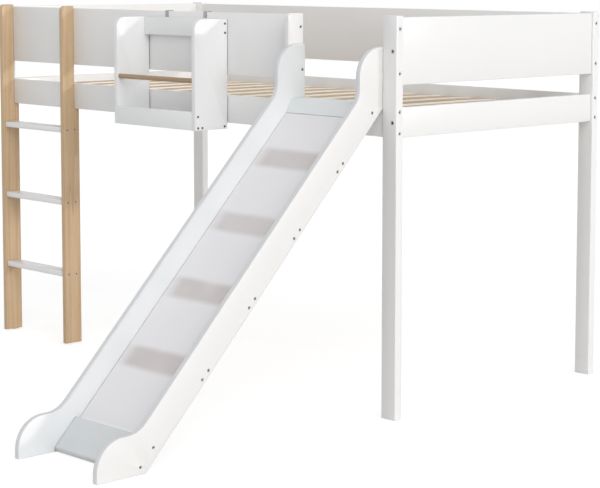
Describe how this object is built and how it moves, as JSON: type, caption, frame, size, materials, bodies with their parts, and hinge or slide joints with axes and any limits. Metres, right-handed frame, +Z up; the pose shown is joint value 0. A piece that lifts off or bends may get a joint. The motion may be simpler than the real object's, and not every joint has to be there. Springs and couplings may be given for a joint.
{
  "type": "loft bed with slide",
  "caption": "Mid-high wooden loft bed with guard boards, a ladder at one end of the front, a slide at the other end and a shelf that hangs on the guard board.",
  "frame": {"origin": "on the floor, in the middle of the rectangle that the bed and its slide take up", "axes": "+X along the bed towards the slide end, +Y from the slide's foot towards the back of the bed, +Z up"},
  "size_m": [2.056, 2.0244, 1.218],
  "materials": {
    "white_lacquer": "white semi-gloss lacquer",
    "ladder_wood": "clear lacquered solid wood",
    "slat_wood": "smooth bent plywood",
    "ledge_wood": "planed softwood",
    "dowel_wood": "oiled round bar",
    "slide_laminate": "glossy pale laminate",
    "grey_lacquer": "pale grey lacquer",
    "dark_steel": "dark painted strip",
    "bolt_steel": "zinc plated"
  },
  "bodies": {
    "bed": {"bolt_back_1": "bolt_steel", "bolt_back_2": "bolt_steel", "bolt_back_3": "bolt_steel", "bolt_back_4": "bolt_steel", "bolt_front_1": "bolt_steel", "bolt_front_2": "bolt_steel", "bolt_front_3": "bolt_steel", "bolt_front_4": "bolt_steel", "end_rail_left": "white_lacquer", "end_rail_right": "white_lacquer", "guard_board_back": "white_lacquer", "guard_board_front": "white_lacquer", "guard_board_left": "white_lacquer", "guard_board_right": "white_lacquer", "ladder_rung_bottom": "white_lacquer", "ladder_rung_middle": "white_lacquer", "ladder_rung_top": "white_lacquer", "ladder_side_left": "ladder_wood", "ladder_side_right": "ladder_wood", "opening_upright": "white_lacquer", "post_back_left": "white_lacquer", "post_back_right": "white_lacquer", "post_front_left": "white_lacquer", "post_front_right": "white_lacquer", "side_rail_back": "white_lacquer", "side_rail_front": "white_lacquer", "slat_01": "slat_wood", "slat_02": "slat_wood", "slat_03": "slat_wood", "slat_04": "slat_wood", "slat_05": "slat_wood", "slat_06": "slat_wood", "slat_07": "slat_wood", "slat_08": "slat_wood", "slat_09": "slat_wood", "slat_10": "slat_wood", "slat_11": "slat_wood", "slat_12": "slat_wood", "slat_13": "slat_wood", "slat_14": "slat_wood", "slat_15": "slat_wood", "slat_ledge_back": "ledge_wood", "slat_ledge_front": "ledge_wood", "slide_batten_1": "ledge_wood", "slide_batten_2": "ledge_wood", "slide_batten_3": "ledge_wood", "slide_batten_4": "ledge_wood", "slide_landing_board": "grey_lacquer", "slide_sheet": "slide_laminate", "slide_side_left": "white_lacquer", "slide_side_right": "white_lacquer", "slide_start_board": "grey_lacquer"},
    "hanging_shelf": {"shelf_bottom_board": "white_lacquer", "shelf_dowel": "dowel_wood", "shelf_front_board": "white_lacquer", "shelf_hook_left": "dark_steel", "shelf_hook_right": "dark_steel", "shelf_side_left": "white_lacquer", "shelf_side_right": "white_lacquer", "shelf_top_rail": "white_lacquer"}
  },
  "joints": [
    {"name": "shelf_lift_off", "type": "slide", "parent": "bed", "child": "hanging_shelf", "axis": [0, 0, 1], "range_m": [0, 0.06]}
  ]
}
